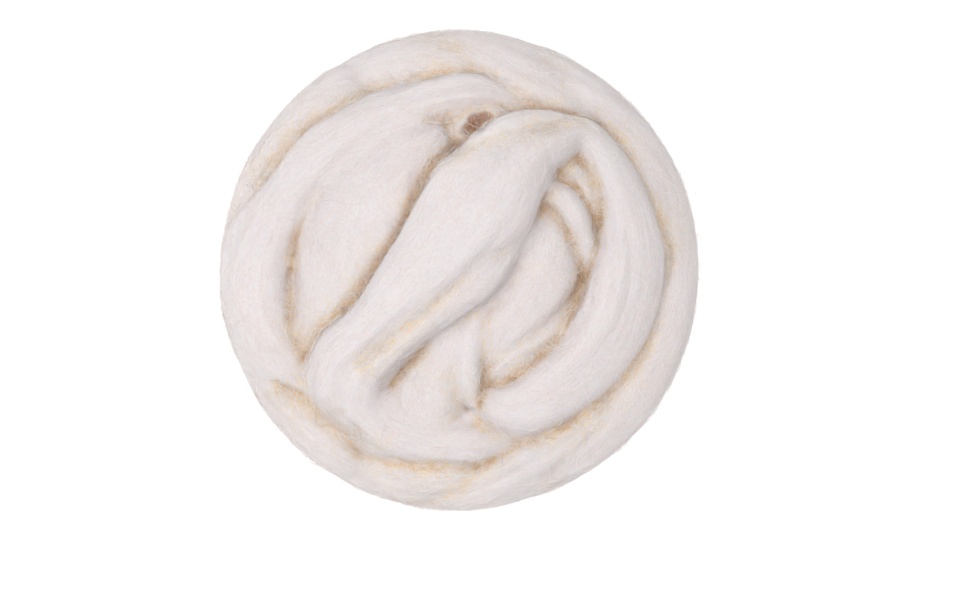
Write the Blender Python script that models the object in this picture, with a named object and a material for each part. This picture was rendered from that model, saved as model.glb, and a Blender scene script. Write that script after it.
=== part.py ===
"""A ball of combed wool roving, wound by hand and lying on its back.

The frame is in metres, with +Z up. The origin is the middle of the small flat spot on which the ball
rests. +Y is the top edge of the face that looks up. The roving is one soft, thick, untwisted strand.
Each stretch of it that shows is swept along its own route, and all are joined into one wound body.
"""

import math

import bmesh
import bpy
import numpy as np
from mathutils import Matrix, Vector

# Driving dimensions, in metres.
BALL_RADIUS = 0.080
BALL_HEIGHT = 0.094
BALL_MIDDLE = 0.047  # height of the widest part
ROUNDING = 0.0012  # how softly the outer turns are pressed to one round outline
CORE_RADIUS = 0.061  # of the hidden turns under those that show
CORE_HALF_HEIGHT = 0.038
CORE_MIDDLE = 0.036
SHOULDER_RADIUS = 0.053  # of the hidden turn that lies round the core, under the ring
SHOULDER_HEIGHT = 0.048
SHOULDER_WIDTH = 0.010
SHOULDER_LOFT = 0.015

# How finely the solid is made.
STEP_ALONG = 0.0068
STEPS_ROUND = 14
SECTION_POWER = 2.3  # 2 is an ellipse, more is squarer
TIP_STEPS = 3  # rings that round off each end of a stretch
MM = 0.001

WOOL_COLOUR = (0.80, 0.745, 0.70, 1.0)

# Each row is one section of a stretch, in millimetres: its middle x, y and z, then half its width along
# the ball's surface, and half its thickness out of that surface.
COLUMNS = ("x", "y", "z", "wide", "loft")

# The strand that lies on top: from the hook at the bottom up the right side, over a sharp fold, then across
# to the lower left.
TOP_STRAND = (
    (6.5, -40.5, 66, 4.0, 4.5),
    (12.0, -44.5, 67, 8.0, 8.0),
    (21.0, -45.0, 66, 12.0, 10.5),
    (32.5, -40.0, 64, 14.5, 11.5),
    (44.0, -30.0, 64, 15.5, 11.5),
    (51.3, -18.8, 65, 16.0, 11.5),
    (55.5, -6.5, 66, 16.0, 11.0),
    (57.2, 4.8, 67, 14.0, 10.0),
    (55.5, 15.2, 68, 11.0, 9.0),
    (52.0, 26.2, 70, 8.6, 8.0),
    (46.6, 36.0, 71, 7.0, 7.5),
    (39.5, 43.8, 73, 5.4, 7.0),
    (31.5, 42.6, 75, 8.8, 8.5),
    (22.5, 40.0, 78, 12.0, 10.0),
    (14.5, 32.5, 81, 15.0, 11.0),
    (7.5, 23.5, 83, 18.0, 11.0),
    (0.0, 14.0, 83, 16.0, 11.0),
    (-8.5, 3.5, 82, 13.0, 11.0),
    (-17.5, -7.0, 79, 11.3, 11.0),
    (-27.0, -17.5, 75, 9.7, 11.0),
    (-37.0, -27.5, 70, 11.0, 11.5),
    (-38.0, -39.0, 66, 12.0, 11.5),
    (-30.0, -48.5, 64, 9.0, 9.5),
)

# Where it goes on round the bottom as a crescent.
BOTTOM_CRESCENT = (
    (-37.0, -36.0, 66, 9.0, 10.0),
    (-27.5, -49.5, 64, 11.0, 11.0),
    (-13.0, -54.5, 63, 9.5, 10.5),
    (3.0, -55.0, 63, 9.3, 10.0),
    (20.0, -51.5, 60, 8.5, 9.0),
)

# The lower lip of the strand on top, along its right side, and the pad under its corner.
TOP_LIP = (
    (30.5, 37.5, 72, 4.5, 6.0),
    (22.5, 29.5, 74, 7.0, 7.0),
    (17.0, 20.5, 77, 8.0, 7.5),
    (12.5, 10.5, 79, 8.5, 8.0),
    (6.0, 0.5, 80, 9.0, 8.5),
    (-6.0, -9.5, 79, 8.5, 9.0),
    (-17.5, -18.5, 76, 8.0, 9.5),
    (-27.5, -28.0, 72, 8.5, 10.0),
    (-34.0, -38.0, 66, 9.0, 9.5),
    (-31.0, -47.0, 60, 8.0, 8.0),
)
CORNER_PAD = (
    (-25.0, -20.0, 72, 7.0, 8.0),
    (-34.0, -32.0, 70, 11.0, 10.5),
    (-34.5, -42.0, 67, 11.0, 10.5),
    (-24.0, -49.5, 64, 9.0, 9.5),
    (-10.0, -53.0, 61, 7.0, 8.0),
)

# The fan on the left, spreading from the dark hollow near the top.
LEFT_FAN = (
    (-4.0, 46.0, 66, 6.5, 6.0),
    (-10.5, 42.0, 69, 11.5, 8.0),
    (-19.5, 37.5, 69, 17.0, 9.5),
    (-29.5, 28.5, 68, 21.0, 11.0),
    (-36.0, 14.0, 68, 19.5, 11.5),
    (-41.0, -2.0, 67, 15.0, 11.0),
    (-45.5, -16.0, 64, 10.5, 10.5),
    (-49.5, -28.5, 61, 6.5, 8.5),
)

# The arc that rises up the left side, over the top of the fan and under the strand on top.
LEFT_ARC = (
    (-38.0, -50.0, 55, 8.0, 8.0),
    (-47.5, -43.0, 59, 10.0, 9.0),
    (-57.0, -35.0, 60, 12.0, 9.0),
    (-64.0, -24.5, 60, 15.0, 10.0),
    (-67.8, -11.5, 58, 17.5, 11.0),
    (-67.8, 3.0, 59, 16.8, 11.0),
    (-61.0, 17.5, 61, 13.0, 11.0),
    (-53.8, 28.5, 64, 11.0, 9.5),
    (-45.5, 38.7, 66, 10.6, 9.0),
    (-33.5, 46.5, 67, 9.8, 8.5),
    (-19.5, 51.8, 67, 9.0, 8.5),
    (-6.0, 56.0, 67, 8.0, 8.5),
    (4.0, 57.3, 67, 7.0, 8.0),
    (13.0, 55.6, 66, 4.4, 7.0),
    (22.0, 52.5, 65, 4.0, 5.5),
)

# What shows in the loop of the strand on top: a small lock, the lining of the sharp fold, the wisp in the
# dark hollow, the floor of the loop in two folds over a bed, and an upright lock.
LOOP_LOCK = (
    (19.0, 26.0, 72, 3.6, 4.0),
    (27.5, 25.6, 75, 4.0, 4.5),
    (33.0, 24.0, 76, 4.2, 4.6),
    (37.0, 19.5, 76, 4.2, 4.6),
    (39.6, 13.0, 74, 3.9, 4.6),
    (41.5, 5.0, 71, 3.2, 4.2),
    (42.0, -4.0, 66, 2.6, 3.5),
)
FOLD_LINING = (
    (20.0, 38.0, 66, 6.0, 7.0),
    (30.0, 36.0, 68, 8.5, 8.5),
    (38.5, 30.0, 66, 10.5, 11.5),
    (45.0, 18.5, 62, 10.5, 12.0),
    (48.0, 7.0, 58, 7.0, 8.0),
)
HOLE_WISP = (
    (-9.0, 44.0, 66, 4.5, 4.5),
    (0.0, 46.5, 69, 7.0, 5.5),
    (9.0, 49.0, 69, 6.5, 5.5),
    (19.0, 48.5, 65, 4.5, 5.0),
)
LOOP_BED = (
    (27.0, 27.0, 64, 8.0, 8.0),
    (23.0, 11.0, 66, 11.5, 9.0),
    (15.0, -6.0, 67, 11.0, 9.0),
    (9.0, -20.0, 65, 9.0, 8.0),
    (4.0, -34.0, 62, 7.0, 8.0),
    (4.0, -48.0, 58, 6.0, 7.0),
)
LOOP_UPPER = (
    (21.5, 28.0, 67, 6.0, 6.0),
    (27.5, 17.5, 69, 10.0, 9.0),
    (28.5, 2.0, 69, 13.0, 10.0),
    (23.0, -10.0, 69, 11.0, 9.0),
    (14.0, -19.5, 69, 8.5, 8.0),
    (7.0, -31.0, 65, 6.0, 6.0),
)
LOOP_LOWER = (
    (43.0, -2.0, 60, 5.0, 6.0),
    (35.5, -14.0, 63, 9.0, 8.0),
    (25.0, -23.5, 65, 10.5, 8.5),
    (14.5, -31.5, 65, 9.0, 8.0),
    (7.0, -38.5, 62, 5.0, 6.0),
)
UPRIGHT_LOCK = (
    (6.0, -10.0, 71, 6.5, 6.0),
    (3.0, -19.0, 71, 6.5, 6.0),
    (1.5, -29.0, 71, 6.0, 6.0),
    (2.5, -37.0, 71, 5.0, 5.0),
    (5.0, -43.0, 70, 3.0, 3.5),
)

# The fan under the lip, at the bottom of the middle.
LOW_FAN = (
    (-2.0, -17.0, 70, 6.0, 6.0),
    (-6.0, -29.0, 69, 9.0, 7.5),
    (-10.5, -40.0, 67, 12.5, 8.5),
    (-13.0, -50.0, 62, 13.5, 8.0),
)

# The outer ring as it shows from above. Its lower half mirrors its upper half, and the turn on the right
# runs through both.
RING_LEFT = (
    (-66.0, -6.0, 46, 12.0, 12.0),
    (-67.0, 12.0, 49, 14.0, 12.5),
    (-61.0, 29.0, 52, 15.0, 13.0),
    (-50.0, 45.5, 54, 15.0, 13.5),
    (-37.5, 56.5, 54, 14.5, 13.5),
    (-28.0, 60.0, 50, 11.0, 9.0),
)
RING_TOP = (
    (-48.0, 46.0, 46, 11.0, 11.5),
    (-35.0, 58.0, 51, 13.5, 12.5),
    (-19.0, 65.0, 53, 15.0, 13.0),
    (-2.0, 66.0, 55, 14.0, 12.5),
    (12.0, 62.0, 52, 12.0, 11.0),
)
RING_CROSSING = (
    (-24.0, 72.5, 41, 12.5, 7.0),
    (-8.0, 75.5, 50, 12.5, 7.5),
    (7.0, 72.5, 56, 12.5, 9.0),
    (22.0, 63.5, 57, 14.5, 10.5),
    (37.0, 53.5, 57, 14.0, 11.0),
    (49.0, 42.0, 56, 12.5, 10.0),
    (57.0, 29.0, 52, 10.0, 8.0),
)
RING_RIGHT = (
    (2.0, 70.5, 46, 11.0, 7.0),
    (19.0, 68.0, 51, 13.0, 9.0),
    (36.0, 58.5, 54, 14.5, 12.0),
    (51.5, 45.0, 55, 15.0, 12.5),
    (62.5, 27.5, 55, 15.0, 12.5),
    (67.8, 9.5, 54, 15.0, 12.3),
)

# Each crossing of the ring goes on down the side and over the underside, to end under the far side.
UPPER_TAIL = (
    (60.0, 16.0, 38, 9.0, 8.0),
    (59.0, 2.0, 25, 12.0, 9.5),
    (44.0, -9.0, 14, 14.5, 10.0),
    (22.0, -8.0, 9, 15.5, 9.5),
    (0.0, 1.0, 8, 15.5, 9.5),
    (-22.0, 12.0, 9, 15.5, 9.5),
    (-41.0, 28.0, 15, 15.0, 10.0),
    (-46.0, 46.0, 26, 14.0, 9.5),
    (-37.0, 61.0, 34, 13.0, 8.5),
)
LOWER_TAIL = (
    (46.0, 44.0, 37, 9.0, 8.0),
    (33.0, 50.0, 25, 12.5, 9.5),
    (18.0, 40.0, 14, 14.5, 10.0),
    (8.0, 20.0, 9, 15.5, 9.5),
    (1.0, 0.0, 8, 15.5, 9.5),
    (-7.0, -21.0, 9, 15.5, 9.5),
    (-18.0, -41.0, 14, 15.0, 10.0),
    (-29.0, -56.0, 26, 14.0, 9.5),
    (-32.0, -65.0, 34, 13.0, 8.5),
)

WINDING_TURNS = 2.45  # of the strand round the side, from the underside to the ring
WINDING_WIDTH = 0.0155
WINDING_LOFT = 0.0115
WINDING_DROP = 0.0145  # how far the middle of the strand lies inside the ball's surface
WINDING_LOW, WINDING_HIGH = math.radians(-62), math.radians(-4)  # latitudes on the ball
WINDING_SWAY = math.radians(9)  # how far a turn tilts


def section_rows(table, mirrored=False):
    """Rows of x, y, z, wide and loft in metres, turned over about the XZ plane where they are mirrored."""
    rows = np.array(table, float) * MM
    if mirrored:
        rows[:, 1] *= -1
    return rows


def winding_rows():
    """The strand that climbs the side of the ball, each turn tilted a different way from the last."""
    count = int(12 * WINDING_TURNS)
    rows = []
    for i in range(count + 1):
        along = i / count
        turn = 2 * math.pi * WINDING_TURNS * along
        latitude = WINDING_LOW + (WINDING_HIGH - WINDING_LOW) * along**0.8
        latitude += WINDING_SWAY * math.sin(1.37 * turn + 0.6) * math.sin(math.pi * along) ** 0.5
        out = (BALL_RADIUS - WINDING_DROP) * math.cos(latitude)
        up = BALL_MIDDLE + (BALL_MIDDLE - 0.6 * WINDING_DROP) * math.sin(latitude)
        rows.append((out * math.cos(turn), out * math.sin(turn), up, WINDING_WIDTH, WINDING_LOFT))
    return np.array(rows)


def shoulder_rows():
    """The hidden turn round the core, which laps over its own start."""
    rows = []
    for turn in np.linspace(0, math.radians(380), 20):
        out = (SHOULDER_RADIUS * math.cos(turn), SHOULDER_RADIUS * math.sin(turn))
        rows.append((*out, SHOULDER_HEIGHT, SHOULDER_WIDTH, SHOULDER_LOFT))
    return np.array(rows)


def smooth_route(rows, step):
    """The rows drawn out into a smooth curve through them all, cut at even steps along its length."""
    gaps = np.linalg.norm(np.diff(rows[:, :3], axis=0), axis=1)
    at = np.concatenate([[0], np.cumsum(gaps)])
    slopes = np.gradient(rows, at, axis=0)
    fine = np.linspace(0, at[-1], 40 * len(rows))
    spot = np.clip(np.searchsorted(at, fine, side="right") - 1, 0, len(at) - 2)
    span = (at[spot + 1] - at[spot])[:, None]
    t = (fine - at[spot])[:, None] / span
    curve = (
        (2 * t**3 - 3 * t**2 + 1) * rows[spot]
        + (t**3 - 2 * t**2 + t) * span * slopes[spot]
        + (3 * t**2 - 2 * t**3) * rows[spot + 1]
        + (t**3 - t**2) * span * slopes[spot + 1]
    )
    lengths = np.concatenate([[0], np.cumsum(np.linalg.norm(np.diff(curve[:, :3], axis=0), axis=1))])
    count = max(4, round(lengths[-1] / step))
    even = np.linspace(0, lengths[-1], count + 1)
    return np.stack([np.interp(even, lengths, column) for column in curve.T], axis=1)


def outward(points):
    """Unit directions out of the ball's surface, at or under each point."""
    from_middle = points - np.array([0, 0, BALL_MIDDLE])
    out = from_middle / np.array([BALL_RADIUS, BALL_RADIUS, BALL_HEIGHT / 2]) ** 2
    return out / np.linalg.norm(out, axis=1)[:, None]


def frames_along(points):
    """For each point: the way on, the way across the strand, and the way out through its flat side."""
    on = np.gradient(points, axis=0)
    on /= np.linalg.norm(on, axis=1)[:, None]
    across = np.cross(on, outward(points))
    across /= np.linalg.norm(across, axis=1)[:, None]
    return on, across, np.cross(across, on)


def pressed_in(point):
    """A point of a strand, brought softly inside the round outline that the ball was wound to."""
    out = math.hypot(point.x, point.y)
    if out < BALL_RADIUS - 6 * ROUNDING:
        return point
    kept = out - ROUNDING * math.log1p(math.exp((out - BALL_RADIUS - 0.0003) / ROUNDING))
    return Vector((point.x * kept / out, point.y * kept / out, point.z))


def strand_mesh(name, rows):
    """A closed tube through the rows, with a rounded tip at each end."""
    route = smooth_route(rows, STEP_ALONG)
    on, across, out = frames_along(route[:, :3])
    angles = 2 * np.pi * np.arange(STEPS_ROUND) / STEPS_ROUND
    power = 2 / SECTION_POWER
    side = np.sign(np.cos(angles)) * np.abs(np.cos(angles)) ** power
    lift = np.sign(np.sin(angles)) * np.abs(np.sin(angles)) ** power
    # A tip is a run of rings, each smaller and further on, that ends in a point.
    rings = []
    for k in range(TIP_STEPS):
        swing = 0.5 * math.pi * (k + 0.6) / (TIP_STEPS + 0.6)
        rings.append((0, -math.cos(swing), math.sin(swing)))
    rings += [(i, 0, 1) for i in range(len(route))]
    rings += [(len(route) - 1, -shift, scale) for _, shift, scale in reversed(rings[:TIP_STEPS])]
    solid = bmesh.new()
    loops = []
    for i, shift, scale in rings:
        wide, loft = route[i, 3] * scale, route[i, 4] * scale
        middle = route[i, :3] + on[i] * shift * 0.8 * route[i, 4]
        spots = middle + np.outer(side * wide, across[i]) + np.outer(lift * loft, out[i])
        loops.append([solid.verts.new(spot) for spot in spots])
    ends = []
    for i, sign in ((0, -1), (len(route) - 1, 1)):
        ends.append(solid.verts.new(route[i, :3] + on[i] * sign * 0.85 * route[i, 4]))
    for first, second in zip(loops, loops[1:]):
        for k in range(STEPS_ROUND):
            after = (k + 1) % STEPS_ROUND
            solid.faces.new((first[k], first[after], second[after], second[k]))
    for k in range(STEPS_ROUND):
        after = (k + 1) % STEPS_ROUND
        solid.faces.new((ends[0], loops[0][after], loops[0][k]))
        solid.faces.new((ends[1], loops[-1][k], loops[-1][after]))
    for vert in solid.verts:
        vert.co = pressed_in(vert.co)
    bmesh.ops.recalc_face_normals(solid, faces=solid.faces)
    for face in solid.faces:
        face.smooth = True
    mesh = bpy.data.meshes.new(name)
    solid.to_mesh(mesh)
    solid.free()
    return mesh


def core_mesh():
    """The hidden turns under those that show, as one full shape."""
    solid = bmesh.new()
    bmesh.ops.create_icosphere(solid, subdivisions=4, radius=1)
    size = Matrix.Diagonal((CORE_RADIUS, CORE_RADIUS, CORE_HALF_HEIGHT, 1))
    bmesh.ops.transform(solid, matrix=Matrix.Translation((0, 0, CORE_MIDDLE)) @ size, verts=solid.verts)
    mesh = bpy.data.meshes.new("core")
    solid.to_mesh(mesh)
    solid.free()
    return mesh


def floor_mesh():
    """A block under the resting plane. Cutting by it leaves the flat spot."""
    solid = bmesh.new()
    bmesh.ops.create_cube(solid, size=0.4)
    bmesh.ops.translate(solid, vec=Vector((0, 0, -0.2)), verts=solid.verts)
    mesh = bpy.data.meshes.new("under_floor")
    solid.to_mesh(mesh)
    solid.free()
    return mesh


def stretches():
    """Each stretch of the strand by name, as rows in metres."""
    found = {
        "top_strand": section_rows(TOP_STRAND),
        "bottom_crescent": section_rows(BOTTOM_CRESCENT),
        "top_lip": section_rows(TOP_LIP),
        "corner_pad": section_rows(CORNER_PAD),
        "left_fan": section_rows(LEFT_FAN),
        "left_arc": section_rows(LEFT_ARC),
        "loop_lock": section_rows(LOOP_LOCK),
        "fold_lining": section_rows(FOLD_LINING),
        "hole_wisp": section_rows(HOLE_WISP),
        "loop_bed": section_rows(LOOP_BED),
        "loop_upper": section_rows(LOOP_UPPER),
        "loop_lower": section_rows(LOOP_LOWER),
        "upright_lock": section_rows(UPRIGHT_LOCK),
        "low_fan": section_rows(LOW_FAN),
        "winding": winding_rows(),
        "shoulder": shoulder_rows(),
    }
    halves = (("upper", False), ("lower", True))
    for half, mirrored in halves:
        found[f"ring_left_{half}"] = section_rows(RING_LEFT, mirrored)
        found[f"ring_top_{half}"] = section_rows(RING_TOP, mirrored)
    right_lower = section_rows(RING_RIGHT, True)[::-1]
    found["ring_right"] = np.concatenate([section_rows(RING_RIGHT), right_lower])
    for (half, mirrored), tail in zip(halves, (UPPER_TAIL, LOWER_TAIL)):
        crossing = section_rows(RING_CROSSING, mirrored)
        found[f"ring_crossing_{half}"] = np.concatenate([section_rows(tail), crossing])
    return found


def collection_named(name):
    made = bpy.data.collections.new(name)
    bpy.context.scene.collection.children.link(made)
    return made


def wool_material():
    wool = bpy.data.materials.new("wool")
    wool.use_nodes = True
    shader = wool.node_tree.nodes["Principled BSDF"]
    shader.inputs["Base Color"].default_value = WOOL_COLOUR
    shader.inputs["Roughness"].default_value = 0.9
    wool.diffuse_color = WOOL_COLOUR
    return wool


def hidden(obj):
    obj.hide_render = True
    obj.display_type = "WIRE"
    return obj


def boolean(obj, operation, other=None, collection=None):
    cut = obj.modifiers.new(operation.lower(), "BOOLEAN")
    cut.solver = "EXACT"
    cut.operation = operation
    if collection:
        cut.operand_type = "COLLECTION"
        cut.collection = collection
        cut.use_self = True
    else:
        cut.object = other
    return cut


for startup in list(bpy.data.objects):
    bpy.data.objects.remove(startup)

ball_parts = collection_named("wool_roving")
shapes = collection_named("strand_shapes")
cutters = collection_named("cutters")

for stretch, rows in stretches().items():
    shapes.objects.link(hidden(bpy.data.objects.new(stretch, strand_mesh(stretch, rows))))

cutter = hidden(bpy.data.objects.new("under_floor", floor_mesh()))
cutters.objects.link(cutter)

ball = bpy.data.objects.new("roving_ball", core_mesh())
ball.data.materials.append(wool_material())
ball_parts.objects.link(ball)
boolean(ball, "UNION", collection=shapes)
boolean(ball, "DIFFERENCE", other=cutter)
for face in ball.data.polygons:
    face.use_smooth = True
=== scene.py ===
import math

import bpy
import numpy as np
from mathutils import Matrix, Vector
from mathutils.bvhtree import BVHTree


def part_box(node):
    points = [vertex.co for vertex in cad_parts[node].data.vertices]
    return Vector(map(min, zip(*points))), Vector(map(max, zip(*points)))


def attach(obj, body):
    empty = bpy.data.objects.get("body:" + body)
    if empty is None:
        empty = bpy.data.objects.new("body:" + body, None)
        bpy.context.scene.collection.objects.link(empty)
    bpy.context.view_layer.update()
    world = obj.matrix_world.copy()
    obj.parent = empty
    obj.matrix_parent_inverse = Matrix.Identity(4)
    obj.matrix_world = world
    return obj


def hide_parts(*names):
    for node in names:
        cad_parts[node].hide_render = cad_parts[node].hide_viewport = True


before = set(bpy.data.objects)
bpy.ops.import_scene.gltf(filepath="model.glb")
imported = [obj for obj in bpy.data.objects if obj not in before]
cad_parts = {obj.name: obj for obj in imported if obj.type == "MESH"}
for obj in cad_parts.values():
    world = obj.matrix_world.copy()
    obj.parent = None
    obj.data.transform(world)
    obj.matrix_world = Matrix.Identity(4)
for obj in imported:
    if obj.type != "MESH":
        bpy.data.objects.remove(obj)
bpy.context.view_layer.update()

mm = 0.001
lowCorner, highCorner = (np.array(corner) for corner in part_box("roving_ball"))
ballRadius = 0.5 * (highCorner[0] - lowCorner[0])
ballHeight = highCorner[2]
ballMiddle = ballHeight / 2

# How the wool is drawn, whichever stretch of the strand it is in. Lengths are in millimetres.
roving = {
    "squareness": 2.3,  # 2 is an ellipse, more is squarer
    "step": 2.0,  # from one ring of a stretch to the next
    "around": 72,  # points in a ring
    "tipRings": 5,
    "tipStart": 0.15,  # of a ring's step, so that a tip isn't quite sharp
    "tipReach": 0.85,  # how far a tip goes past its last row, to its half thickness
    "voxel": 1.04,
    "rounds": 7,  # how often the creases are filled a little: more is softer
    "crease": {
        "depth": 0.85,
        "under": 2.2,  # half its width in the stretch below
        "over": 0.8,  # and in the stretch above
        "reach": 13.0,  # how far up a flank it is still felt
        "touch": 0.5,  # stretches this close count as touching
        # line, flank, lineShare, overShare and overReach shape the painted shade along a crease
        "line": 1.5,  # how far its dark line reaches, and the soft shade beside that
        "flank": 6.5,
        "lineShare": 0.6,
        "overShare": 0.8,
        "overReach": 1.6,
        "least": 0.25,  # its strength between two stretches of one level
        "rim": 7.0,  # how far inside the outline it starts to run out
        "rimShare": 0.1,
        # fullNook and openShare set how much of a join line's painted shade shows out of a nook
        "fullNook": 0.15,  # the nook at which its line is darkest, and its share in the open
        "openShare": 0.35,
    },
    "outlineSoftness": 1.2,
    "outlineSlack": 0.3,
    "lobes": {"height": 0.34, "fewest": 2, "most": 6, "reach": 110, "waves": 10},
    "folds": {"height": 0.16, "fewest": 6, "most": 16, "reach": 80, "waves": 26},
    "grooves": {"height": 0.05, "fewest": 18, "most": 44, "reach": 45, "waves": 40},
    "wander": {"turn": 0.30, "length": 85},  # how far the folds wander round the strand, and how slowly
    "fullLoft": 11,  # where the strand is thinner, the folds stand lower
    "leastRelief": 0.15,
    "shadeReach": 28,  # how far a fold's other side still shades it
    "nookReach": 8,
    "shadeRays": 24,
    "widestRay": 0.97,  # the sine of its tilt
    "rayLift": 0.4,  # the rays start this far off the skin
}

# Where neighbouring stretches have run together: x, y and radius in millimetres, then rounds of filling.
mergedSpots = (
    (-31.0, 39.0, 9.0, 60),
    (-20.0, 45.0, 8.0, 50),
    (-66.0, -6.0, 8.0, 80),
    (-42.0, -35.0, 8.0, 110),
    (-33.0, -43.0, 8.0, 110),
    (-26.0, -47.0, 8.0, 80),
    (-15.0, -50.0, 9.0, 80),
    (-2.0, -24.0, 7.0, 50),
    (13.0, -4.0, 9.0, 60),
    (22.0, 10.0, 7.0, 60),
    (27.0, 29.5, 4.0, 40),
    (45.0, 64.0, 8.0, 60),
    (45.0, -64.0, 8.0, 60),
    (20.0, 74.0, 8.0, 80),
    (20.0, -74.0, 8.0, 80),
    (-40.0, 66.0, 5.0, 80),
    (-40.0, -66.0, 5.0, 80),
    (-71.0, -33.0, 5.0, 70),
    (3.0, -46.5, 3.0, 25),
    (-66.0, -36.0, 4.0, 40),
    (-43.0, 34.0, 6.0, 60),
)

# Where a hollow goes deep between the stretches: x, y, radius and depth in millimetres.
deepSpots = (
    (3.4, 45.8, 2.3, 6.5),
    (5.9, 47.7, 2.9, 11.0),
    (8.6, 49.2, 2.2, 9.0),
)

# Where a crease's painted shade fades: x, y and radius in millimetres, then the share of it that is left.
faintSpots = (
    (68.0, -12.0, 13.0, 0.25),
    (-51.0, 27.0, 10.0, 0.2),
    (-76.0, 6.0, 14.0, 0.3),
    (-76.0, -26.0, 10.0, 0.4),
    (8.0, -18.0, 10.0, 0.5),
    (12.0, -52.0, 7.0, 0.5),
    (-28.0, -41.0, 6.0, 0.3),
    (-42.0, -35.0, 8.0, 0.2),
    (-72.0, -33.0, 7.0, 0.2),
    (-73.0, 23.0, 7.0, 0.3),
    (-66.0, -36.0, 4.0, 0.5),
    (-43.0, 34.0, 6.0, 0.2),
)


# First the shape of one stretch, as a grid of points.
def smoothRoute(rows, step, finePerRow=60, fewestSteps=6):
    # a smooth curve through the rows, cut at even steps along its length
    gaps = np.linalg.norm(np.diff(rows[:, :3], axis=0), axis=1)
    at = np.concatenate([[0], np.cumsum(gaps)])
    slopes = np.gradient(rows, at, axis=0)
    fine = np.linspace(0, at[-1], finePerRow * len(rows))
    spot = np.clip(np.searchsorted(at, fine, side="right") - 1, 0, len(at) - 2)
    span = (at[spot + 1] - at[spot])[:, None]
    t = (fine - at[spot])[:, None] / span
    curve = (
        (2 * t**3 - 3 * t**2 + 1) * rows[spot]
        + (t**3 - 2 * t**2 + t) * span * slopes[spot]
        + (3 * t**2 - 2 * t**3) * rows[spot + 1]
        + (t**3 - t**2) * span * slopes[spot + 1]
    )
    hops = np.linalg.norm(np.diff(curve[:, :3], axis=0), axis=1)
    lengths = np.concatenate([[0], np.cumsum(hops)])
    even = np.linspace(0, lengths[-1], max(fewestSteps, round(lengths[-1] / step)) + 1)
    return np.stack([np.interp(even, lengths, column) for column in curve.T], axis=1), even


def unit(vectors):
    return vectors / np.maximum(np.linalg.norm(vectors, axis=-1, keepdims=True), 1e-12)


def outward(points):
    fromMiddle = points - np.array([0, 0, ballMiddle])
    return unit(fromMiddle / np.array([ballRadius, ballRadius, ballMiddle]) ** 2)


def pressedIn(points):
    # softly inside the round outline of the ball, and above the surface that it rests on
    softness = roving["outlineSoftness"] * mm
    farPast = 30  # so many times the softness that no more matters
    out = np.hypot(points[..., 0], points[..., 1])
    past = np.clip((out - ballRadius - roving["outlineSlack"] * mm) / softness, -farPast, farPast)
    kept = (out - softness * np.log1p(np.exp(past))) / np.maximum(out, 1e-9)
    pressed = points.copy()
    pressed[..., 0] *= kept
    pressed[..., 1] *= kept
    pressed[..., 2] = np.maximum(points[..., 2], 0)
    return pressed


def angleAround(spot):
    # the way round a strand, from its inner side
    return 2 * np.pi * spot / roving["around"] - np.pi / 2


def layStretch(look):
    # the skin of one stretch as a grid: rings along it, points round it from its inner side
    route, even = smoothRoute(np.array(look["rows"], float) * mm, roving["step"] * mm)
    middle = route[:, :3]
    on = unit(np.gradient(middle, axis=0))
    across = unit(np.cross(on, outward(middle)))
    out = np.cross(across, on)

    tips, tipStart = roving["tipRings"], roving["tipStart"]
    swing = 0.5 * math.pi * (np.arange(tips) + tipStart) / (tips + tipStart)
    last = len(route) - 1
    ring = np.concatenate([np.zeros(tips, int), np.arange(last + 1), np.full(tips, last)])
    shift = np.concatenate([-np.cos(swing), np.zeros(last + 1), np.cos(swing[::-1])])
    full = np.concatenate([np.sin(swing), np.ones(last + 1), np.sin(swing[::-1])])
    push = roving["tipReach"] * route[ring, 4] * shift
    turn = angleAround(np.arange(roving["around"]))
    power = 2 / roving["squareness"]
    side = np.sign(np.cos(turn)) * np.abs(np.cos(turn)) ** power
    lift = np.sign(np.sin(turn)) * np.abs(np.sin(turn)) ** power
    wide, loft = route[ring, 3] * full, route[ring, 4] * full
    points = (
        (middle[ring] + on[ring] * push[:, None])[:, None]
        + across[ring][:, None] * wide[:, None, None] * side[None, :, None]
        + out[ring][:, None] * loft[:, None, None] * lift[None, :, None]
    )
    return {
        "look": look,
        "points": pressedIn(points),
        "along": even[ring] + push,
        "loft": loft,
        "girth": np.pi * (route[ring, 3] + route[ring, 4]).mean(),
    }


def gridFaces(rings, around):
    # each face of a grid that closes round the strand, as four places in it
    first = np.arange(rings - 1)[:, None] * around + np.arange(around)[None, :]
    second = np.arange(rings - 1)[:, None] * around + (np.arange(around)[None, :] + 1) % around
    return np.stack([first, second, second + around, first + around], axis=-1).reshape(-1, 4)


def gridAt(grid, ring, spot):
    # a grid's values between its points: its rings end, and the way round closes
    rings, around = grid.shape[:2]
    justShort = rings - 1.001  # of the last ring, so that there is always a next one
    ring = np.clip(ring, 0, justShort)
    low, spotLow = np.floor(ring).astype(int), np.floor(spot).astype(int)
    u, v = ring - low, spot - spotLow
    if grid.ndim == 3:
        u, v = u[..., None], v[..., None]
    a, b = spotLow % around, (spotLow + 1) % around
    return (
        grid[low, a] * (1 - u) * (1 - v)
        + grid[low, b] * (1 - u) * v
        + grid[low + 1, a] * u * (1 - v)
        + grid[low + 1, b] * u * v
    )


# Then one soft skin over all the stretches.
def newMesh(name, corners, faces):
    # a smooth mesh, whose faces all have the same number of corners
    mesh = bpy.data.meshes.new(name)
    mesh.vertices.add(len(corners))
    mesh.vertices.foreach_set("co", corners.astype(np.float32).ravel())
    mesh.loops.add(faces.size)
    mesh.loops.foreach_set("vertex_index", faces.astype(np.int32).ravel())
    mesh.polygons.add(len(faces))
    mesh.polygons.foreach_set("loop_start", np.arange(0, faces.size, faces.shape[1], dtype=np.int32))
    mesh.polygons.foreach_set("use_smooth", np.ones(len(faces), bool))
    mesh.update(calc_edges=True)
    return mesh


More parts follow.
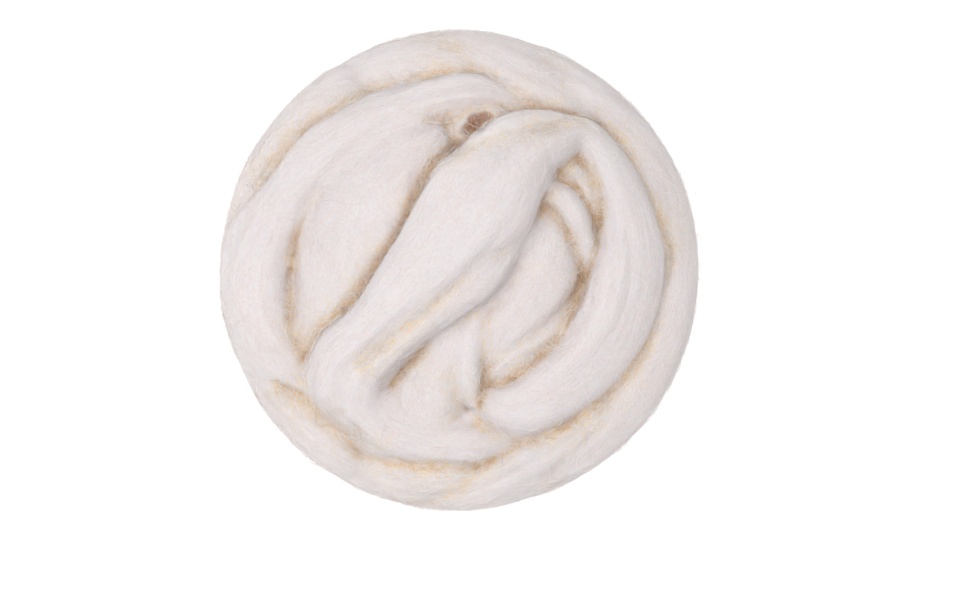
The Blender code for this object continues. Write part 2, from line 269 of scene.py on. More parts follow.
def joinedSkin(stretches):
    # the outside of all the stretches together, as even small squares
    corners, faces, start = [], [], 0
    for stretch in stretches:
        rings, around = stretch["points"].shape[:2]
        fan = np.arange(1, around - 1)
        ends = []
        for first, turned in ((0, False), ((rings - 1) * around, True)):
            cap = np.stack([np.full(len(fan), first), first + fan + 1, first + fan], axis=1)
            ends.append(cap[:, ::-1] if turned else cap)
        square = gridFaces(rings, around)
        triangles = np.concatenate([square[:, [0, 1, 2]], square[:, [0, 2, 3]], *ends])
        corners.append(stretch["points"].reshape(-1, 3))
        faces.append(triangles + start)
        start += rings * around
    together = newMesh("together", np.concatenate(corners), np.concatenate(faces))
    holder = bpy.data.objects.new("together", together)
    bpy.context.scene.collection.objects.link(holder)
    remesh = holder.modifiers.new("skin", "REMESH")
    remesh.mode = "VOXEL"
    remesh.voxel_size = roving["voxel"] * mm
    graph = bpy.context.evaluated_depsgraph_get()
    skin = bpy.data.meshes.new_from_object(holder.evaluated_get(graph))
    points = np.empty(len(skin.vertices) * 3, np.float32)
    skin.vertices.foreach_get("co", points)
    squares = np.empty(len(skin.polygons) * 4, np.int32)
    skin.loops.foreach_get("vertex_index", squares)
    bpy.data.objects.remove(holder)
    bpy.data.meshes.remove(together)
    bpy.data.meshes.remove(skin)
    return outerShell(points.reshape(-1, 3).astype(float), squares.reshape(-1, 4))


def outerShell(points, faces):
    # leaves out the sealed hollows between the stretches
    label = np.arange(len(points))
    while True:
        lowest = label[faces].min(axis=1)
        smaller = label.copy()
        np.minimum.at(smaller, faces.ravel(), np.repeat(lowest, 4))
        smaller = smaller[smaller]
        if (smaller == label).all():
            break
        label = smaller
    shell = label[np.argmax(points[:, 2])]
    kept = label == shell
    places = np.cumsum(kept) - 1
    return points[kept], places[faces[kept[faces[:, 0]]]]


def neighbourCount(faces, count):
    # two in each face, so a neighbour that two faces share counts twice
    return 2 * np.bincount(faces.ravel(), minlength=count)[:, None]


def spread(values, faces, count):
    # the sum of the values next to each point, along the edges of each of its faces
    shared = np.zeros((count, values.shape[1]))
    for k in range(4):
        beside = values[faces[:, (k + 1) % 4]] + values[faces[:, (k + 3) % 4]]
        for axis in range(values.shape[1]):
            shared[:, axis] += np.bincount(faces[:, k], beside[:, axis], count)
    return shared


def normalsOf(points, faces):
    across = points[faces[:, 2]] - points[faces[:, 0]]
    along = points[faces[:, 3]] - points[faces[:, 1]]
    flat = np.cross(across, along)
    total = np.zeros(points.shape)
    for k in range(4):
        for axis in range(3):
            total[:, axis] += np.bincount(faces[:, k], flat[:, axis], len(points))
    return unit(total)


def joinShare(points, owner, stretches):
    # 1 in the line where a stretch goes under another, falling off up the lower one's flank: the share of
    # painted crease shade there, and with it the depth of the crease at each point
    look = roving["crease"]
    share, depth = np.zeros(len(points)), np.zeros(len(points))
    level = np.array([stretch["look"]["level"] for stretch in stretches])
    reach = look["reach"] * mm
    for j, other in enumerate(stretches):
        grid = other["points"]
        low, high = grid.min(axis=(0, 1)) - reach, grid.max(axis=(0, 1)) + reach
        picked = np.flatnonzero((owner != j) & ((points > low) & (points < high)).all(axis=1))
        if not len(picked):
            continue
        tree = BVHTree.FromPolygons(grid.reshape(-1, 3).tolist(), gridFaces(*grid.shape[:2]).tolist())
        gap = np.array([tree.find_nearest(point, reach)[3] or reach for point in points[picked].tolist()])
        gap = np.maximum(gap / mm - look["touch"], 0)
        above = level[j] - level[owner[picked]]
        strength = np.clip(look["least"] + (1 - look["least"]) * np.abs(above), 0, 1)
        line, flank = np.exp(-gap / look["line"]), np.exp(-gap / look["flank"])
        under = look["lineShare"] * line + (1 - look["lineShare"]) * flank
        over = look["overShare"] * np.exp(-((gap / (look["overReach"] * look["over"])) ** 2))
        share[picked] = np.maximum(share[picked], strength * np.where(above > 0, under, over))
        width = np.where(above > 0, look["under"], look["over"])
        depth[picked] = np.maximum(depth[picked], strength * np.exp(-((gap / width) ** 2)))
    return share, depth * look["depth"] * mm


def spotShare(points, x, y, radius, lowest, edge=1.5):
    # 1 in the middle of a round spot on top, falling softly to 0 at its edge, in radii
    away = np.hypot(points[:, 0] - x * mm, points[:, 1] - y * mm) / (radius * mm)
    near = np.clip(edge - away, 0, 1) * (points[:, 2] > lowest)
    return near**2 * (3 - 2 * near)


def mergedShare(points):
    # how far each point has run together with its neighbours, and the rounds of filling for that
    share, rounds = np.zeros(len(points)), np.zeros(len(points))
    for x, y, radius, filling in mergedSpots:
        near = spotShare(points, x, y, radius, ballMiddle)
        share, rounds = np.maximum(share, near), np.maximum(rounds, near * filling)
    return share, rounds


def faintShare(points):
    # the share of a crease's painted shade that is left at each point
    left = np.ones(len(points))
    lowest = 0.8 * ballMiddle  # a crease fades some way down the side too
    for x, y, radius, least in faintSpots:
        near = spotShare(points, x, y, radius, lowest)
        left = np.minimum(left, 1 - (1 - least) * near)
    return left


def pitDepth(points):
    # how far down each point is pushed where a hollow goes deep
    depth = np.zeros(len(points))
    for x, y, radius, deep in deepSpots:
        depth = np.maximum(depth, deep * mm * spotShare(points, x, y, radius, ballMiddle))
    return depth


def evened(points, faces, pull=0.5, push=0.52, rounds=4):
    # takes the steps off the small squares: each pull in is followed by a push out, so that nothing shrinks
    neighbours = neighbourCount(faces, len(points))
    for factor in (pull, -push) * rounds:
        points = points + factor * (spread(points, faces, len(points)) / neighbours - points)
    return points


def soften(points, faces, rounds, fill=0.5, slide=0.3):
    # fills the creases: a point moves out where its neighbours stand higher, and never in
    count = len(points)
    neighbours = neighbourCount(faces, count)
    filled = np.zeros(count)
    for k in range(int(rounds.max())):
        normals = normalsOf(points, faces)
        move = spread(points, faces, count) / neighbours - points
        rise = (move * normals).sum(axis=1)
        aside = move - normals * rise[:, None]
        active = rounds > k
        step = np.where(active, fill * np.maximum(rise, 0), 0)
        filled += step
        points = points + normals * step[:, None] + slide * aside * active[:, None]
    return points, filled


def creased(points, faces, stretches):
    # carves the creases and the deep hollow, then fills them softly
    look = roving["crease"]
    owner = findOnStretches(points, stretches)[0]
    merged, mergedRounds = mergedShare(points)
    join, depth = joinShare(points, owner, stretches)
    join *= (1 - merged) * faintShare(points)
    inside = (ballRadius - np.hypot(points[:, 0], points[:, 1])) / (look["rim"] * mm)
    depth *= np.clip(inside, look["rimShare"], 1) * (1 - merged)
    points = points - normalsOf(points, faces) * depth[:, None]
    # each point halfway to the mean of its neighbours
    points = 0.5 * points + 0.5 * spread(points, faces, len(points)) / neighbourCount(faces, len(points))
    points[:, 2] -= pitDepth(points)
    points, filled = soften(points, faces, roving["rounds"] + mergedRounds)
    return points, filled, join


# Where each bit of skin lies on its stretch, and how the wool is combed there.
def findOnStretches(points, stretches):
    # for each point: the stretch it lies on, and its place along and round that stretch's grid
    corners, faces, owners, firstFaces, cornerCount = [], [], [], [], 0
    for k, stretch in enumerate(stretches):
        rings, around = stretch["points"].shape[:2]
        square = gridFaces(rings, around)
        corners.append(stretch["points"].reshape(-1, 3))
        faces.append(square + cornerCount)
        firstFaces.append(sum(len(owner) for owner in owners))
        owners.append(np.full(len(square), k))
        cornerCount += rings * around
    corners, faces, owners = (np.concatenate(part) for part in (corners, faces, owners))
    tree = BVHTree.FromPolygons(corners.tolist(), faces.tolist())
    face = np.array([tree.find_nearest(point)[2] for point in points.tolist()])
    owner = owners[face]
    around = roving["around"]
    local = face - np.array(firstFaces)[owner]
    first = corners[faces[face, 0]]
    share = []
    for k in (3, 1):
        edge = corners[faces[face, k]] - first
        share.append(((points - first) * edge).sum(axis=1) / np.maximum((edge**2).sum(axis=1), 1e-14))
    ring = local // around + np.clip(share[0], 0, 1)
    spot = local % around + np.clip(share[1], 0, 1)
    return owner, ring, spot


def waves(along, around, seed, band):
    # long soft ridges that run with the wool: `fewest` to `most` of them round the strand
    draw = np.random.default_rng(seed)
    total = np.zeros(len(along))
    for _ in range(band["waves"]):
        count = round(math.exp(draw.uniform(math.log(band["fewest"]), math.log(band["most"]))))
        drift = draw.normal() / (band["reach"] * mm)
        total += np.cos(count * around + 2 * math.pi * drift * along + draw.uniform(0, 2 * math.pi))
    return band["height"] * mm * total / math.sqrt(band["waves"] / 2)


def alongOf(stretch, ring):
    return np.interp(ring, np.arange(len(stretch["along"])), stretch["along"])


def combing(stretch, ring, spot):
    # how high the long folds of the wool stand: they wander round the strand and fade towards its tips
    seed, wander = stretch["look"]["seed"], roving["wander"]
    along = alongOf(stretch, ring)
    loft = np.interp(ring, np.arange(len(stretch["loft"])), stretch["loft"])
    around = angleAround(spot)
    sway = np.sin(2 * np.pi * along / (wander["length"] * mm) + seed)
    turned = around + wander["turn"] * sway * np.cos(around + seed)
    relief = np.zeros(len(along))
    for k, band in enumerate(("lobes", "folds", "grooves")):
        relief += waves(along, turned, seed + 100 * k, roving[band])
    return relief * np.clip(loft / (roving["fullLoft"] * mm), roving["leastRelief"], 1)


def combed(points, faces, filled, stretches):
    # raises the long folds, less where a crease was filled
    owner, ring, spot = findOnStretches(points, stretches)
    relief = np.zeros(len(points))
    for k, stretch in enumerate(stretches):
        mine = owner == k
        relief[mine] = combing(stretch, ring[mine], spot[mine])
    points = points + normalsOf(points, faces) * (relief * np.exp(-filled / mm))[:, None]
    return {"points": pressedIn(points), "faces": faces, "owner": owner, "ring": ring, "spot": spot}


# The shade that each fold gives the next.
def rayWays(count):
    # even ways out of a surface, closer together near its normal
    k = np.arange(count) + 0.5
    tilt = np.sqrt(k / count) * roving["widestRay"]
    spin = k * math.pi * (3 - math.sqrt(5))
    return np.stack([tilt * np.cos(spin), tilt * np.sin(spin), np.sqrt(1 - tilt**2)], axis=1)


def foldShade(tree, points, normals):
    # how much of what a point faces is more wool: within a fold's reach, and close by
    reach, close = roving["shadeReach"] * mm, roving["nookReach"] * mm
    ways = rayWays(roving["shadeRays"])
    slant = np.array([0.31, 0.17, 0.93])  # a way that hardly any normal follows
    aside = unit(np.cross(normals, slant))
    ahead = np.cross(normals, aside)
    starts = (points + normals * roving["rayLift"] * mm).tolist()
    shade, nook = np.zeros(len(points)), np.zeros(len(points))
    for way in ways:
        rays = aside * way[0] + ahead * way[1] + normals * way[2]
        hits = [tree.ray_cast(begin, ray, reach)[3] for begin, ray in zip(starts, rays.tolist())]
        far = np.array([reach if hit is None else hit for hit in hits])
        shade += 1 - far / reach
        nook += np.maximum(1 - far / close, 0)
    return shade / len(ways), nook / len(ways)


def shaded(skin, tree, join):
    # adds the shade and the nooks, and a line where stretches meet counts as a nook
    look = roving["crease"]
    shade, nook = foldShade(tree, skin["points"], normalsOf(skin["points"], skin["faces"]))
    line = look["openShare"] + (1 - look["openShare"]) * np.clip(nook / look["fullNook"], 0, 1)
    return {**skin, "shade": shade, "nook": np.maximum(join * line, nook)}


# How a mesh becomes a piece, and the piece that is the skin.
def asPiece(name, corners, faces, bakeMap, fields, finish):
    # a field holds a value for each point, or for each corner of each face
    mesh = newMesh(name, corners, faces)
    mesh.uv_layers.new(name="OFBake").data.foreach_set("uv", bakeMap.astype(np.float32).ravel())
    for field, values in fields.items():
        kind, slot = ("FLOAT_VECTOR", "vector") if values.shape[-1] == 3 else ("FLOAT", "value")
        domain = "CORNER" if values.ndim == 3 else "POINT"
        mesh.attributes.new(field, kind, domain).data.foreach_set(slot, values.astype(np.float32).ravel())
    mesh.materials.append(finish)
    piece = bpy.data.objects.new(name, mesh)
    bpy.context.scene.collection.objects.link(piece)
    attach(piece, "root")
    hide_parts("roving_ball")
    return piece


def shelved(sizes):
    # places boxes on shelves, tallest first, in as small a square as takes them
    growth = 1.02
    order = np.argsort(-sizes[:, 1])
    side = math.sqrt((sizes[:, 0] * sizes[:, 1]).sum())
    while True:
        side *= growth
        places, x, y, shelf = np.zeros(sizes.shape), 0, 0, 0
        for k in order:
            if x + sizes[k, 0] > side:
                x, y, shelf = 0, y + shelf, 0
            places[k] = x, y
            x, shelf = x + sizes[k, 0], max(shelf, sizes[k, 1])
        if y + shelf <= side and (sizes[:, 0] <= side).all():
            return places, side


def skinPiece(name, stretches, skin, finish):
    # each face takes its place along and round the wool from one stretch alone
    faces, around = skin["faces"], roving["around"]
    faceOwner = skin["owner"][faces[:, 0]]
    ring, spot = skin["ring"][faces], skin["spot"][faces]
    stray = skin["owner"][faces] != faceOwner[:, None]
    flow = np.zeros((*faces.shape, 3))
    boxes = np.zeros((len(stretches), 2, 2))
    for k, stretch in enumerate(stretches):
        mine = faceOwner == k
        if not mine.any():
            continue
        lost = stray & mine[:, None]
        if lost.any():
            _, ring[lost], spot[lost] = findOnStretches(skin["points"][faces[lost]], [stretch])
        turned = spot[mine]
        turned = np.where(turned - turned.min(axis=1, keepdims=True) > around / 2, turned - around, turned)
        along = alongOf(stretch, ring[mine].ravel()).reshape(-1, 4) / mm
        across = turned / around * stretch["girth"] / mm
        flow[mine] = np.stack([along, across, np.full(along.shape, stretch["look"]["seed"])], axis=-1)
        flat = flow[mine][..., :2].reshape(-1, 2)
        boxes[k] = flat.min(axis=0) - 1, flat.max(axis=0) + 1
    places, side = shelved(boxes[:, 1] - boxes[:, 0])
    bakeMap = (flow[..., :2] + (places - boxes[:, 0])[faceOwner][:, None]) / side
    fields = {"flow": flow, "shade": skin["shade"][:, None], "nook": skin["nook"][:, None]}
    return asPiece(name, skin["points"], faces, bakeMap, fields, finish)


# What every single fibre on the skin has in common, with lengths in millimetres.
fibreShape = {
    "jitter": 0.3,
    "floorGap": 0.15,
    "archPower": 2.5,  # more is flatter in the middle of a fibre and drops faster at its tips
    "flutter": 0.5,  # rise and fall, to its crimp from side to side
    "flutterPitch": 1.3,
    "taper": 1.15,
    "taperPower": 3,
    "tipWidth": 0.12,
    "mapMargin": 0.1,
}


def drawFibres(stretches, skin, tree, look):
    # lines that run with the wool, as arrays of fibre by point
    draw = np.random.default_rng(look["seed"])
    weight = np.where(skin["points"][:, 2] < look["lowBelow"] * mm, look["lowShare"], 1.0)
    weight = weight * (1 + look["creaseGain"] * skin["nook"])
    picked = draw.choice(len(weight), look["count"], p=weight / weight.sum())
    count = look["count"]
    reach = np.linspace(-0.5, 0.5, look["points"])[None, :]
    length = draw.uniform(*look["length"], count)[:, None] * mm
    lean = draw.normal(0, look["lean"], count)[:, None]
    bend = draw.normal(0, look["bend"], count)[:, None]
    crimp = draw.uniform(*look["crimp"], count)[:, None] * mm
    pitch = draw.uniform(*look["crimpPitch"], count)[:, None] * mm
    phase = draw.uniform(0, 2 * np.pi, count)[:, None]
    away = reach * length
    bow = 4 * (reach**2 - 0.08)  # with about as much on each side of the straight line
    sway = away * lean + bow * length * bend
    sway = sway + crimp * np.sin(2 * np.pi * away / pitch + phase)
    lines = np.zeros((count, look["points"], 3))
    for k, stretch in enumerate(stretches):
        mine = skin["owner"][picked] == k
        ringLength = np.median(np.diff(stretch["along"]))
        spotLength = stretch["girth"] / roving["around"]
        at = picked[mine]
        ring = skin["ring"][at][:, None] + away[mine] / ringLength
        spot = skin["spot"][at][:, None] + sway[mine] / spotLength
        onGrid = gridAt(stretch["points"], ring, spot)
        start = gridAt(stretch["points"], skin["ring"][at], skin["spot"][at])
        jitter = draw.normal(0, fibreShape["jitter"] * mm, (len(at), 1, 3))
        lines[mine] = onGrid + (skin["points"][at] - start)[:, None] + jitter
    hits = [tree.find_nearest(point) for point in lines.reshape(-1, 3).tolist()]
    base = np.array([hit[0] for hit in hits]).reshape(lines.shape)
    outs = np.array([hit[1] for hit in hits]).reshape(lines.shape)
    corner = skin["faces"][[hit[2] for hit in hits], 0]
    shade = skin["shade"][corner].reshape(lines.shape[:2])
    nook = skin["nook"][corner].reshape(lines.shape[:2])
    high = draw.exponential(look["lift"], count)[:, None] * mm
    arch = 1 - np.abs(2 * reach) ** fibreShape["archPower"]
    flutter = np.cos(2 * np.pi * away / (fibreShape["flutterPitch"] * pitch) + 2 * phase)
    flutter = fibreShape["flutter"] * crimp * flutter
    lines = base + outs * (high * arch + flutter + look["sink"] * mm)[..., None]
    lines[..., 2] = np.maximum(lines[..., 2], fibreShape["floorGap"] * mm)
    return lines, outs, shade, nook, draw


def fibrePieces(name, stretches, skin, tree, look, finish):
    # flat ribbons, each turned a little out of the skin, shared among a few pieces
    lines, outs, shades, nooks, draw = drawFibres(stretches, skin, tree, look)
    count, points = lines.shape[:2]
    onward = unit(np.gradient(lines, axis=1))
    roll = draw.normal(0, look["roll"], count)[:, None, None]
    sideways = unit(np.cross(onward, outs))
    facing = np.cross(sideways, onward)
    sideways = unit(sideways * np.cos(roll) + facing * np.sin(roll))
    taper = fibreShape["taper"] - np.abs(np.linspace(-1, 1, points)) ** fibreShape["taperPower"]
    taper = np.clip(taper, fibreShape["tipWidth"], 1)[None, :, None]
    half = 0.5 * draw.uniform(*look["width"], count)[:, None, None] * mm * taper
    edges = np.stack([lines - sideways * half, lines + sideways * half], axis=2)
    fields = {
        "tone": draw.uniform(0, 1, count)[:, None, None],
        "shade": shades[..., None],
        "nook": nooks[..., None],
    }
    fields = {field: np.broadcast_to(values, edges.shape[:3]) for field, values in fields.items()}
    order = draw.permutation(count)
    share = -(-count // look["pieces"])
    hop = 1 / (points - 1)
    steps = np.arange(points - 1) / (points - 1)
    square = np.array([[(at, 0), (at, 1), (at + hop, 1), (at + hop, 0)] for at in steps])
    margin = fibreShape["mapMargin"]
    made = []
    for part in range(look["pieces"]):
        chosen = order[part * share : (part + 1) * share]
        first = (np.arange(len(chosen)) * points * 2)[:, None] + 2 * np.arange(points - 1)[None, :]
        faces = np.stack([first, first + 1, first + 3, first + 2], axis=-1).reshape(-1, 4)
        # Each fibre has a cell of its own in the map.
        cells = math.ceil(math.sqrt(len(chosen)))
        cell = np.stack([np.arange(len(chosen)) % cells, np.arange(len(chosen)) // cells], axis=-1) / cells
        bakeMap = cell[:, None, None, :] + (margin + (1 - 2 * margin) * square)[None] / cells
        ownFields = {field: values[chosen].reshape(-1, 1) for field, values in fields.items()}
        corners = edges[chosen].reshape(-1, 3)
        made.append(asPiece(f"{name}{part + 1}", corners, faces, bakeMap, ownFields, finish))
    return made


class Wire:
    # an output of a node, so that sums in a finish read as sums
    def __init__(self, finish, socket):
        self.finish = finish
        self.socket = socket

    def maths(self, operation, first, second):
        return self.finish.node("ShaderNodeMath", {"operation": operation}, {0: first, 1: second})

    def __add__(self, other):
        return self.maths("ADD", self, other)

    def __radd__(self, other):
        return self.maths("ADD", other, self)

    def __sub__(self, other):
        return self.maths("SUBTRACT", self, other)

    def __rsub__(self, other):
        return self.maths("SUBTRACT", other, self)

    def __mul__(self, other):
        return self.maths("MULTIPLY", self, other)

    def __rmul__(self, other):
        return self.maths("MULTIPLY", other, self)


class Finish:
    def __init__(self, name):
        self.material = bpy.data.materials.new(name)
        self.material.use_nodes = True
        self.tree = self.material.node_tree
        self.tree.nodes.clear()

    def node(self, kind, settings, sockets, output=0):
        made = self.tree.nodes.new(kind)
        for setting, value in settings.items():
            setattr(made, setting, value)
        for socket, value in sockets.items():
            if isinstance(value, Wire):
                self.tree.links.new(value.socket, made.inputs[socket])
            else:
                made.inputs[socket].default_value = value
        return Wire(self, made.outputs[output])

    def field(self, name, output="Fac"):
        return self.node("ShaderNodeAttribute", {"attribute_name": name}, {}, output)

    def place(self):
        return self.node("ShaderNodeNewGeometry", {}, {}, "Position")

    def scaled(self, vector, scale):
        return self.node("ShaderNodeVectorMath", {"operation": "MULTIPLY"}, {0: vector, 1: scale})

    def noise(self, vector, detail):
        return self.node("ShaderNodeTexNoise", {}, {"Vector": vector, "Scale": 1.0, "Detail": detail})

    def cells(self, vector):
        # small patches, each of one value from 0 to 1
        colour = self.node("ShaderNodeTexVoronoi", {}, {"Vector": vector, "Scale": 1.0}, "Color")
        return self.node("ShaderNodeSeparateColor", {}, {"Color": colour})

    def between(self, value, low, high):
        # 0 at low, 1 at high, held past them
        sockets = {"Value": value, "From Min": low, "From Max": high}
        return self.node("ShaderNodeMapRange", {"clamp": True}, sockets)

    def blend(self, share, first, second):
        # a Mix node keeps its two colours in sockets 6 and 7, and gives the result at output 2
        settings = {"data_type": "RGBA", "clamp_factor": True}
        return self.node("ShaderNodeMix", settings, {0: share, 6: first, 7: second}, 2)

    def surface(self, sockets):
        shader = self.node("ShaderNodeBsdfPrincipled", {}, sockets)
        output = self.tree.nodes.new("ShaderNodeOutputMaterial")
        self.tree.links.new(shader.socket, output.inputs["Surface"])
        return self.material


skinLook = {
    "light": (0.884, 0.840, 0.854, 1),  # the open wool where it is lightest
    "shadeAndTone": (
        # the open wool's painted shade from the shade field, with its random changes of tone: from, to,
        # colour
        (0.00, 0.45, (0.870, 0.787, 0.784, 1)),
        (0.45, 1.00, (0.868, 0.740, 0.690, 1)),
    ),
    "creaseShade": (
        # the painted shade in a crease, warm and grainy: from, to, colour
        (0.04, 0.30, (0.905, 0.770, 0.645, 1)),
        (0.30, 0.75, (0.935, 0.745, 0.455, 1)),
        (0.75, 1.50, (0.850, 0.540, 0.245, 1)),
    ),
    # painted shade, reddish brown, where a hollow lies deep
    "pitShade": (0.86, 0.50, 0.28, 1),
    "pitFrom": 0.46,  # the shade from which a hollow takes this colour, and that at which it has it all
    "pitTo": 0.70,
    "base": 0.20,  # how far into its shade and tone colours the open wool is to begin with, where nothing shades it
    "shadeShare": 0.38,
    # the strength of the painted crease shade
    "foldShare": 1.8,
    "streakShare": 0.45,
    "blushShare": 0.75,
    "combShare": 0.95,
    "openGrain": 0.85,
    "foldGrain": 3.2,
    "patch": (90.0, 90.0, 90.0),  # to a metre
    "patchFrom": 0.25,
    "patchTo": 0.6,
    "blush": (28.0, 28.0, 28.0),
    "fuzz": (0.5, 1.5, 1),  # to a millimetre, along the wool and across it
    "speckle": (1.9, 3.0, 1),
    "comb": (0.06, 1.8, 1),
    "streak": (0.03, 0.30, 1),
    "bump": 0.8,
    "bumpDepth": 0.0006,
    "bumpShare": 0.6,
    "roughness": 0.75,
    "roughGrain": 0.2,
    "gloss": 0.2,
    "sheen": 0.2,
    "sheenRoughness": 0.5,
    "soft": 0.5,
    "softColours": (1.0, 0.75, 0.6),
    "softReach": 0.005,
}


def woolSkin(look):
    finish = Finish("combedWool")
    flow = finish.field("flow", "Vector")
    shade = finish.field("shade")
    nook = finish.field("nook")
    place = finish.place()
    patch = finish.noise(finish.scaled(place, look["patch"]), detail=2.0)
    blush = finish.noise(finish.scaled(place, look["blush"]), detail=1.5)
    fuzz = finish.noise(finish.scaled(flow, look["fuzz"]), detail=3.0)
    speckle = finish.cells(finish.scaled(flow, look["speckle"]))
    comb = finish.noise(finish.scaled(flow, look["comb"]), detail=2.0)
    streak = finish.noise(finish.scaled(flow, look["streak"]), detail=3.0)
    grain = fuzz + speckle - 1  # about 0
    # painted shade from the shade field, mixed with random tones from blush, streaks, combing and grain
    shadeAndTone = shade * look["shadeShare"] + look["base"] + (blush - 0.5) * look["blushShare"]
    shadeAndTone = shadeAndTone + (streak - 0.5) * look["streakShare"] + (comb - 0.5) * look["combShare"]
    shadeAndTone = shadeAndTone + grain * look["openGrain"]
    # painted crease shade: where a nook or a line between stretches lies, in random patches, with grain
    fold = nook * finish.between(patch, look["patchFrom"], look["patchTo"]) * look["foldShare"]
    fold = fold * (1 + grain * look["foldGrain"])
    colour = look["light"]
    for depth, tones in ((shadeAndTone, look["shadeAndTone"]), (fold, look["creaseShade"])):
        for low, high, tone in tones:
            colour = finish.blend(finish.between(depth, low, high), colour, tone)
    # painted shade in the deepest hollows, by the shade field
    colour = finish.blend(finish.between(shade, look["pitFrom"], look["pitTo"]), colour, look["pitShade"])
    height = fuzz * look["bumpShare"] + comb * look["bumpShare"]
    bumpSockets = {"Strength": look["bump"], "Distance": look["bumpDepth"], "Height": height}
    return finish.surface(
        {
            "Base Color": colour,
            "Roughness": look["roughness"] + look["roughGrain"] * fuzz,
            "Normal": finish.node("ShaderNodeBump", {}, bumpSockets),
            "Specular IOR Level": look["gloss"],
            "Sheen Weight": look["sheen"],
            "Sheen Roughness": look["sheenRoughness"],
            "Subsurface Weight": look["soft"],
            "Subsurface Radius": look["softColours"],
            "Subsurface Scale": look["softReach"],
        }
    )


fibreLook = {
    "light": (0.93, 0.905, 0.895, 1),
    "pinkShadeAndTone": (0.87, 0.785, 0.77, 1),
    "creaseShadeTan": (0.78, 0.55, 0.32, 1),
    "toneShare": 0.7,  # how much a fibre's own tone counts beside the shade
    "pinkFrom": 0.2,
    "pinkTo": 1.0,
    "leastTan": 0.3,
    "tanShare": 1.5,
    "tanFrom": 0.15,
    "tanTo": 0.9,
    "roughness": 0.6,
    "roughTone": 0.25,
    "gloss": 0.25,
    "sheen": 0.1,
}


def woolFibre(look):
    finish = Finish("looseFibre")
    tone = finish.field("tone")
    shade = finish.field("shade")
    nook = finish.field("nook")
    # painted shade from the shade field, mixed with each fibre's random tone
    pinkness = finish.between(shade + tone * look["toneShare"], look["pinkFrom"], look["pinkTo"])
    cream = finish.blend(pinkness, look["light"], look["pinkShadeAndTone"])
    # painted crease shade, by the nook field
    tanness = nook * (look["leastTan"] + look["tanShare"] * tone)
    tanness = finish.between(tanness, look["tanFrom"], look["tanTo"])
    return finish.surface(
        {
            "Base Color": finish.blend(tanness, cream, look["creaseShadeTan"]),
            "Roughness": look["roughness"] + look["roughTone"] * tone,
            "Specular IOR Level": look["gloss"],
            "Sheen Weight": look["sheen"],
        }
    )


# The stretches of the strand. Each row is x, y, z, half width and half thickness in millimetres,
# and a stretch with a higher level lies over one with a lower.
topStrand = {  # from the hook at the bottom, up the right side, over a sharp fold and to the lower left
    "seed": 3,
    "level": 4,
    "rows": (
        (6.5, -40.5, 66, 4.0, 4.5),
        (12.0, -44.5, 67, 8.0, 8.0),
        (21.0, -45.0, 66, 12.0, 10.5),
        (32.5, -40.0, 64, 14.5, 11.5),
        (44.0, -30.0, 64, 15.5, 11.5),
        (51.3, -18.8, 65, 16.0, 11.5),
        (55.5, -6.5, 66, 16.0, 11.0),
        (57.2, 4.8, 67, 14.0, 10.0),
        (55.5, 15.2, 68, 11.0, 9.0),
        (52.0, 26.2, 70, 8.6, 8.0),
        (46.6, 36.0, 71, 7.0, 7.5),
        (39.5, 43.8, 73, 5.4, 7.0),
        (31.5, 42.6, 75, 8.8, 8.5),
        (22.5, 40.0, 78, 12.0, 10.0),
        (14.5, 32.5, 81, 15.0, 11.0),
        (7.5, 23.5, 83, 18.0, 11.0),
        (0.0, 14.0, 83, 16.0, 11.0),
        (-8.5, 3.5, 82, 13.0, 11.0),
        (-17.5, -7.0, 79, 11.3, 11.0),
        (-27.0, -17.5, 75, 9.7, 11.0),
        (-37.0, -27.5, 70, 11.0, 11.5),
        (-38.0, -39.0, 66, 12.0, 11.5),
        (-30.0, -48.5, 64, 9.0, 9.5),
    ),
}
topBand = {
    "seed": 12,
    "level": 4.4,
    "rows": (
        (37.5, 46.5, 75, 2.5, 4.0),
        (30.0, 48.0, 78, 3.5, 5.0),
        (18.8, 46.2, 81.5, 5.0, 6.0),
        (5.8, 40.0, 83, 3.6, 6.0),
        (0.5, 35.0, 82, 2.4, 5.0),
    ),
}
bottomCrescent = {
    "seed": 4,
    "level": 3.0,
    "rows": (
        (-37.0, -36.0, 66, 9.0, 10.0),
        (-27.5, -49.5, 64, 11.0, 11.0),
        (-13.0, -54.5, 63, 9.5, 10.5),
        (3.0, -55.0, 63, 9.3, 10.0),
        (20.0, -51.5, 60, 8.5, 9.0),
    ),
}
topLip = {
    "seed": 5,
    "level": 3.6,
    "rows": (
        (30.5, 37.5, 72, 4.5, 6.0),
        (22.5, 29.5, 74, 7.0, 7.0),
        (17.0, 20.5, 77, 8.0, 7.5),
        (12.5, 10.5, 79, 8.5, 8.0),
        (6.0, 0.5, 80, 9.0, 8.5),
        (-6.0, -9.5, 79, 8.5, 9.0),
        (-17.5, -18.5, 76, 8.0, 9.5),
        (-27.5, -28.0, 72, 8.5, 10.0),
        (-34.0, -38.0, 66, 9.0, 9.5),
        (-31.0, -47.0, 60, 8.0, 8.0),
    ),
}
cornerPad = {
    "seed": 6,
    "level": 3.4,
    "rows": (
        (-25.0, -20.0, 72, 7.0, 8.0),
        (-34.0, -32.0, 70, 11.0, 10.5),
        (-34.5, -42.0, 67, 11.0, 10.5),
        (-24.0, -49.5, 64, 9.0, 9.5),
        (-10.0, -53.0, 61, 7.0, 8.0),
    ),
}
leftFan = {
    "seed": 8,
    "level": 2.5,
    "rows": (
        (-4.0, 46.0, 66, 6.5, 6.0),
        (-10.5, 42.0, 69, 11.5, 8.0),
        (-19.5, 37.5, 69, 17.0, 9.5),
        (-29.5, 28.5, 68, 21.0, 11.0),
        (-36.0, 14.0, 68, 19.5, 11.5),
        (-41.0, -2.0, 67, 15.0, 11.0),
        (-45.5, -16.0, 64, 10.5, 10.5),
        (-49.5, -28.5, 61, 6.5, 8.5),
    ),
}
